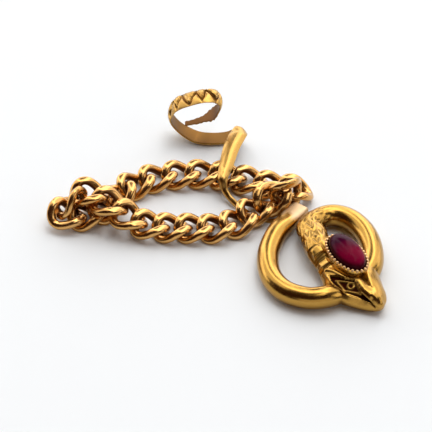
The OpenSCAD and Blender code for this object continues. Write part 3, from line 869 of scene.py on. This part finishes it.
def buildBand():
    shape = bandShape
    section = bandSection()
    rings, dirtAndShade, travelled = [], [], 0.0
    previous = None
    for t in np.linspace(0, len(bandRows) - 1, shape["ringsPerRow"] * (len(bandRows) - 1) + 1):
        row = smoothRow(bandRows, t)
        along = wayAlong(bandRows, t)
        out = unit(row[3:6] - along * (row[3:6] @ along))
        side = np.cross(out, along)
        if previous is not None:
            travelled += np.linalg.norm(row[:3] - previous)
        previous = row[:3]
        cuts = bandCuts(section, travelled, t)
        rings.append(row[:3] + np.outer(section[:, 0] * row[6] * tornWidth(t), side)
                     + np.outer(section[:, 1] * row[7] - cuts * shape["cutDepth"], out))
        # painted shade on the flat inner face, deeper at the torn end
        dull = shape["innerShade"] + shape["tornDarker"] * smoothStep(*shape["tornDarkerFrom"], t)
        inner = smoothStep(*shape["innerFrom"], section[:, 1])
        # painted shade in the deeper halves of the cuts
        strength, start = shape["cutShade"]
        dirtAndShade.append(np.maximum(np.clip(strength * cuts - start, 0, 1), inner * dull))
    return tubePiece("tailBand", np.array(rings), bandGold, np.array(dirtAndShade), sharpAngle=55)


band = buildBand()
print("tail band built")


# The curb chain

# Where each link lies: x, y, z, heading, climb towards the heading, roll about its own length
linkRows = [
    [1.9, -1.05, 0.85, 32, 0, 0],
    [-0.25, -1.85, 0.78, 12, 0, 0],
    [-2.5, -1.95, 0.78, 0, 0, 0],
    [-4.7, -1.9, 0.78, -2, 0, 0],
    [-6.9, -1.75, 1.0, -8, -6, 0],
    [-8.95, -1.2, 1.6, -20, -18, 0],
    [-10.95, -0.2, 2.45, -30, -10, 0],
    [-12.95, 1.1, 2.65, -25, 0, 0],
    [-14.9, 0.7, 1.9, 30, 30, -40],
    [-15.2, -0.3, 1.2, 10, -20, 10],
    [-13.2, 0.0, 0.78, 15, 0, 0],
    [-11.4, 1.2, 0.78, 45, 0, 0],
    [-10.2, 3.2, 0.78, 58, 0, 0],
    [-8.4, 4.7, 0.8, 36, 0, 0],
    [-6.23, 5.69, 0.78, 18, 0, 0],
    [-3.85, 6.1, 0.78, 4, 0, 0],
    [-1.5, 6.2, 0.78, 0, 0, 0],
    [0.8, 5.85, 0.78, -14, 0, 0],
    [3.05, 5.1, 0.78, -20, 0, 0],
    [5.3, 4.3, 0.8, -18, 0, 0],
    [7.45, 3.4, 1.0, -35, 0, 0],
    [6.8, 2.2, 1.95, 30, -45, 90],
    [5.25, 1.45, 1.8, 30, 15, 30],
    [3.6, 0.6, 0.9, 30, 0, 0],
]
linkShape = {
    "length": 3.2,  # along the middle of the wire
    "width": 2.72,
    "twist": 0.58,  # how far the wire rises and falls
    "wireAcross": 0.95,
    "wireHigh": 0.8,
    "filedAt": 0.78,
    "wornShare": 1.12,  # how high the upper flat is, as a share of that
    "wornSoftness": 0.4,  # mm over which the upper flat rounds off
    "filedSoftness": 0.1,
    "innerFrom": (-0.4, -0.85),  # how far inwards a face looks where the painted shade starts and where it is full
    "innerShade": 0.9,
    "stepsRound": 96,
    "wirePoints": 20,
}


def curbLinkTree():
    shape = linkShape
    tree, sockets, given = newTree("curbLink", {
        "Length": "Float",
        "Width": "Float",
        "Twist": "Float",
        "Wire Across": "Float",
        "Wire High": "Float",
        "Filed At": "Float",
        "Steps Round": "Int",
        "Wire Points": "Int",
        "Finish": "Material",
    })
    # the wire's middle: an oval that rises and falls twice on its way round, as its x times its y does
    circle = addNode(tree, "GeometryNodeCurvePrimitiveCircle", {"Radius": 1.0},
                     {"Resolution": given.outputs["Steps Round"]})
    place = addNode(tree, "GeometryNodeInputPosition")
    parts = addNode(tree, "ShaderNodeSeparateXYZ", {}, {0: place.outputs[0]})
    flatPlace = []
    for axis, size in enumerate(("Length", "Width")):
        half = addNode(tree, "ShaderNodeMath", {"operation": "MULTIPLY", 1: 0.5}, {0: given.outputs[size]})
        flatPlace.append(addNode(tree, "ShaderNodeMath", {"operation": "MULTIPLY"},
                                 {0: parts.outputs[axis], 1: half.outputs[0]}))
    x, y = flatPlace
    crossed = addNode(tree, "ShaderNodeMath", {"operation": "MULTIPLY"},
                      {0: parts.outputs[0], 1: parts.outputs[1]})
    wave = addNode(tree, "ShaderNodeMath", {"operation": "MULTIPLY", 1: -2.0}, {0: crossed.outputs[0]})
    z = addNode(tree, "ShaderNodeMath", {"operation": "MULTIPLY"},
                {0: wave.outputs[0], 1: given.outputs["Twist"]})
    twisted = addNode(tree, "ShaderNodeCombineXYZ", {}, {0: x.outputs[0], 1: y.outputs[0], 2: z.outputs[0]})
    path = addNode(tree, "GeometryNodeSetPosition", {},
                   {"Geometry": circle.outputs[0], "Position": twisted.outputs[0]})
    upright = addNode(tree, "GeometryNodeSetCurveNormal", {"mode": "Z_UP"}, {"Curve": path.outputs[0]})
    # an oval wire, wider than it is high
    wire = addNode(tree, "GeometryNodeCurvePrimitiveCircle", {"Radius": 0.5},
                   {"Resolution": given.outputs["Wire Points"]})
    size = addNode(tree, "ShaderNodeCombineXYZ", {2: 1.0},
                   {0: given.outputs["Wire Across"], 1: given.outputs["Wire High"]})
    section = addNode(tree, "GeometryNodeTransform", {},
                      {"Geometry": wire.outputs[0], "Scale": size.outputs[0]})
    swept = addNode(tree, "GeometryNodeCurveToMesh", {},
                    {"Curve": upright.outputs[0], "Profile Curve": section.outputs[0]})
    # both faces of the chain are filed flat, and the upper one is worn round again
    there = addNode(tree, "GeometryNodeInputPosition")
    split = addNode(tree, "ShaderNodeSeparateXYZ", {}, {0: there.outputs[0]})
    low = addNode(tree, "ShaderNodeMath", {"operation": "MULTIPLY", 1: -1.0}, {0: given.outputs["Filed At"]})
    high = addNode(tree, "ShaderNodeMath", {"operation": "MULTIPLY", 1: shape["wornShare"]},
                   {0: given.outputs["Filed At"]})
    capped = addNode(tree, "ShaderNodeMath", {"operation": "SMOOTH_MIN", 2: shape["wornSoftness"] * mm},
                     {0: split.outputs[2], 1: high.outputs[0]})
    kept = addNode(tree, "ShaderNodeMath", {"operation": "SMOOTH_MAX", 2: shape["filedSoftness"] * mm},
                   {0: capped.outputs[0], 1: low.outputs[0]})
    flat = addNode(tree, "ShaderNodeCombineXYZ", {},
                   {0: split.outputs[0], 1: split.outputs[1], 2: kept.outputs[0]})
    filed = addNode(tree, "GeometryNodeSetPosition", {},
                    {"Geometry": swept.outputs[0], "Position": flat.outputs[0]})
    smooth = addNode(tree, "GeometryNodeSetShadeSmooth", {}, {"Geometry": filed.outputs[0]})
    # painted shade on the side that looks into the link
    level = addNode(tree, "ShaderNodeCombineXYZ", {}, {0: split.outputs[0], 1: split.outputs[1]})
    outward = addNode(tree, "ShaderNodeVectorMath", {"operation": "NORMALIZE"}, {0: level.outputs[0]})
    facing = addNode(tree, "GeometryNodeInputNormal")
    turned = addNode(tree, "ShaderNodeVectorMath", {"operation": "DOT_PRODUCT"},
                     {0: facing.outputs[0], 1: outward.outputs[0]})
    start, full = shape["innerFrom"]
    insideShade = addNode(tree, "ShaderNodeMapRange",
                    {"From Min": start, "From Max": full, "To Max": shape["innerShade"]},
                    {"Value": turned.outputs["Value"]})
    marked = addNode(tree, "GeometryNodeStoreNamedAttribute",
                     {"domain": "POINT", "data_type": "FLOAT", "Name": "dirtAndShade"},
                     {"Geometry": smooth.outputs[0], "Value": insideShade.outputs[0]})
    endTree(tree, marked.outputs[0], given.outputs["Finish"])
    return tree, sockets


def linkMatrix(row):
    place = Vector([(row[i] + toOrigin[i]) * mm for i in range(3)])
    heading, climb, roll = (math.radians(v) for v in row[3:6])
    turned = Matrix.Rotation(heading, 4, "Z") @ Matrix.Rotation(-climb, 4, "Y")
    return Matrix.Translation(place) @ (turned @ Matrix.Rotation(roll, 4, "X"))


def buildChain():
    shape = linkShape
    tree, sockets = curbLinkTree()
    values = {
        "Length": shape["length"] * mm,
        "Width": shape["width"] * mm,
        "Twist": shape["twist"] * mm,
        "Wire Across": shape["wireAcross"] * mm,
        "Wire High": shape["wireHigh"] * mm,
        "Filed At": shape["filedAt"] * mm,
        "Steps Round": shape["stepsRound"],
        "Wire Points": shape["wirePoints"],
        "Finish": curbGold,
    }
    return [meshFromTree(f"curbLink{number:02d}", tree, sockets, values, linkMatrix(row))
            for number, row in enumerate(linkRows, start=1)]


chain = buildChain()
print("chain of", len(chain), "links built,", len(chain[0].data.polygons), "faces each")


# What each piece stands for

for piece in (snakeBody, setting, beads, band):
    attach(piece, "root")
    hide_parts("snake")
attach(ruby, "root")
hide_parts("ruby")
for number, link in enumerate(chain, start=1):
    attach(link, "root")
    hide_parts(f"link_{number:02d}")


# Table, lights and camera

studio = {
    "table": "F0F4F6",
    "tableRoughness": 0.7,
    "tableHalf": 1.5,  # metres, as the lights' places and sizes
    "around": "8A4E2C",  # a dim brown room, which the gold mirrors between the lights
    "aroundStrength": 0.15,
}
# Place, width and height, and power of each soft light. All of them face the ring.
softLights = {
    "backSoftboxLeft": [(-0.62, 0.6, 0.86), (0.94, 1.3), 5.0],
    "backSoftboxRight": [(0.42, 0.6, 0.9), (1.06, 1.3), 7.0],
    "backStripLeft": [(-0.3, 0.58, 0.84), (0.2, 1.2), 1.5],
    "backStripRight": [(0.15, 0.58, 0.84), (0.26, 1.2), 2.1],
    "topSoftbox": [(0.3, -0.05, 1.25), (0.9, 0.3), 2.2],
    "backWall": [(-0.1, 1.25, 0.3), (1.8, 0.5), 7.5],
    "frontFill": [(0.2, -1.3, 0.3), (2.0, 0.6), 2.8],
    "rightWall": [(1.25, -0.3, 0.7), (1.0, 0.6), 3.0],
    "backRightWall": [(1.1, 0.75, 0.3), (0.9, 0.5), 2.5],
    "backLeftWall": [(-1.2, 0.65, 0.3), (0.9, 0.5), 3.0],
}
cameraView = {
    "elevation": 42.0,
    "distance": 0.3,
    "lens": 250.0,
    "target": (-0.35, 0.75, 0.0),  # in the tables' places
}


def buildTable():
    # matt white paint, which looks slightly cool
    material, _, shader = newMaterial("whitePaintedTable")
    shader.inputs["Base Color"].default_value = linearColour(studio["table"])
    shader.inputs["Roughness"].default_value = studio["tableRoughness"]
    size = studio["tableHalf"]
    mesh = bpy.data.meshes.new("table")
    corners = [(-size, -size, 0), (size, -size, 0), (size, size, 0), (-size, size, 0)]
    mesh.from_pydata(corners, [], [(0, 1, 2, 3)])
    mesh.materials.append(material)
    table = bpy.data.objects.new("table", mesh)
    bpy.context.collection.objects.link(table)


def softLight(name, place, size, power):
    light = bpy.data.lights.new(name, "AREA")
    light.shape = "RECTANGLE"
    light.size, light.size_y = size
    light.energy = power
    holder = bpy.data.objects.new(name, light)
    holder.location = place
    holder.rotation_euler = (-Vector(place)).to_track_quat("-Z", "Y").to_euler()
    bpy.context.collection.objects.link(holder)


def buildWorld():
    world = bpy.data.worlds.new("studio")
    world.use_nodes = True
    background = world.node_tree.nodes["Background"]
    background.inputs["Color"].default_value = linearColour(studio["around"])
    background.inputs["Strength"].default_value = studio["aroundStrength"]
    bpy.context.scene.world = world


def buildCamera():
    view = cameraView
    target = Vector([(view["target"][i] + toOrigin[i]) * mm for i in range(3)])
    rise = math.radians(view["elevation"])
    camera = bpy.data.objects.new("camera", bpy.data.cameras.new("camera"))
    camera.data.sensor_width = 36
    camera.data.lens = view["lens"]
    camera.data.clip_start = 0.01
    camera.location = target + view["distance"] * Vector((0, -math.cos(rise), math.sin(rise)))
    camera.rotation_euler = (math.pi / 2 - rise, 0, 0)
    bpy.context.collection.objects.link(camera)
    bpy.context.scene.camera = camera


buildTable()
for name, (place, size, power) in softLights.items():
    softLight(name, place, size, power)
buildWorld()
bpy.context.scene.view_settings.view_transform = "Standard"
buildCamera()
print("table, lights and camera placed")
